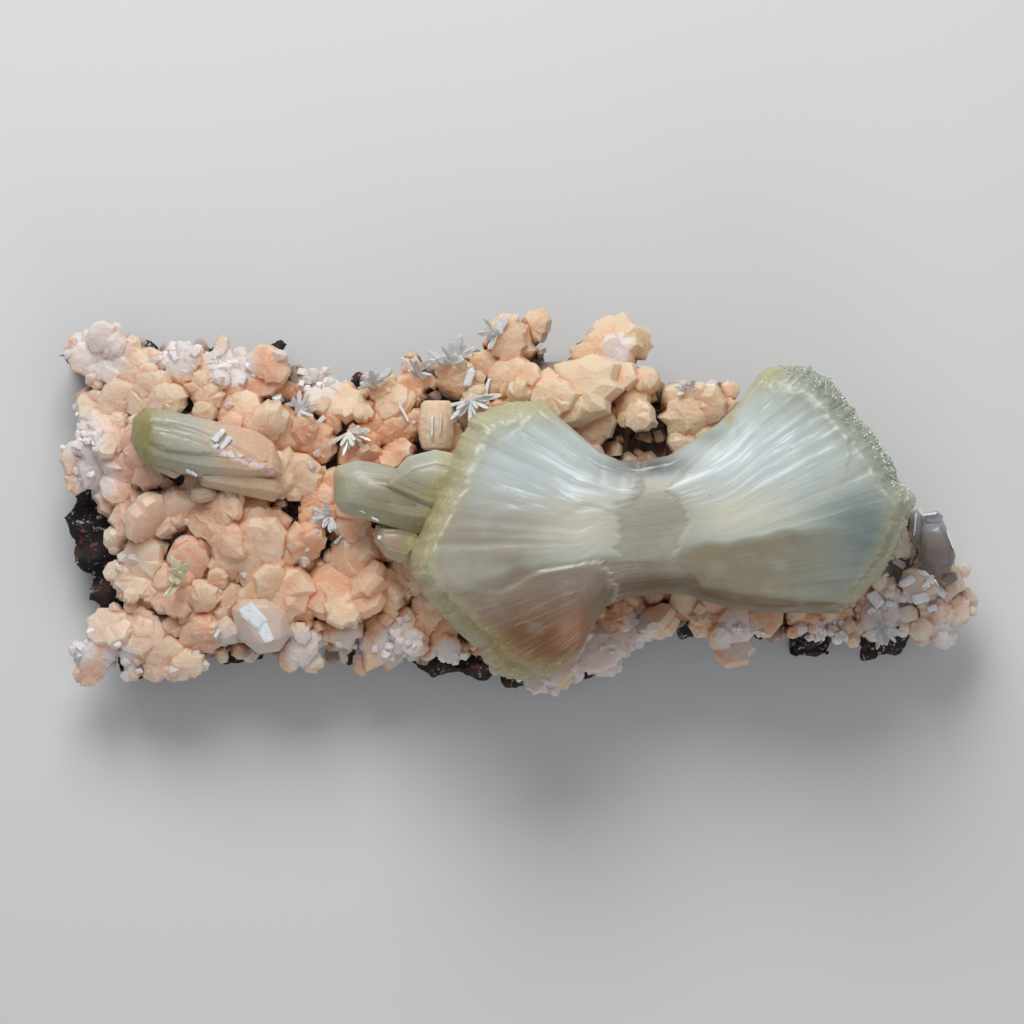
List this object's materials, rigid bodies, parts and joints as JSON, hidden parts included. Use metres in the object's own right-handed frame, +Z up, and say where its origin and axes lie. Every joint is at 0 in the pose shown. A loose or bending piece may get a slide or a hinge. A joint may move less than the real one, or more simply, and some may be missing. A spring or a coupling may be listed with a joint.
{
  "type": "stilbite cluster",
  "caption": "Mineral specimen: a double sheaf of pale green stilbite on a crust of peach heulandite, on sawn dark basalt.",
  "frame": {"origin": "on the sawn flat back of the rock, under the middle of the crust", "axes": "+Z up, out of the sawn face towards the crystals; +X along the length, from the single tablet towards the double sheaf; +Y across it"},
  "size_m": [0.1199, 0.0499, 0.0342],
  "materials": {
    "basalt": "rough, matt",
    "heulandite": "waxy, slightly see-through at its edges",
    "stilbite": "silky to pearly, finely striated",
    "clear_stilbite": "clear, glassy"
  },
  "bodies": {
    "root": {"basalt_matrix": "basalt", "heulandite_crust": "heulandite", "stilbite_bow_tie": "stilbite", "stilbite_tablet": "stilbite", "glassy_plate": "clear_stilbite", "white_block": "clear_stilbite", "spray_top_left": "clear_stilbite", "spray_top_small": "clear_stilbite", "spray_top_tall": "clear_stilbite", "spray_top_right": "clear_stilbite", "spray_white_bundle": "clear_stilbite", "spray_rosette": "clear_stilbite", "spray_upper_rosette": "clear_stilbite", "spray_centre": "clear_stilbite", "spray_yellow": "clear_stilbite", "spray_blue": "clear_stilbite", "spray_lower_right": "clear_stilbite", "spray_far_right": "clear_stilbite"}
  },
  "joints": []
}
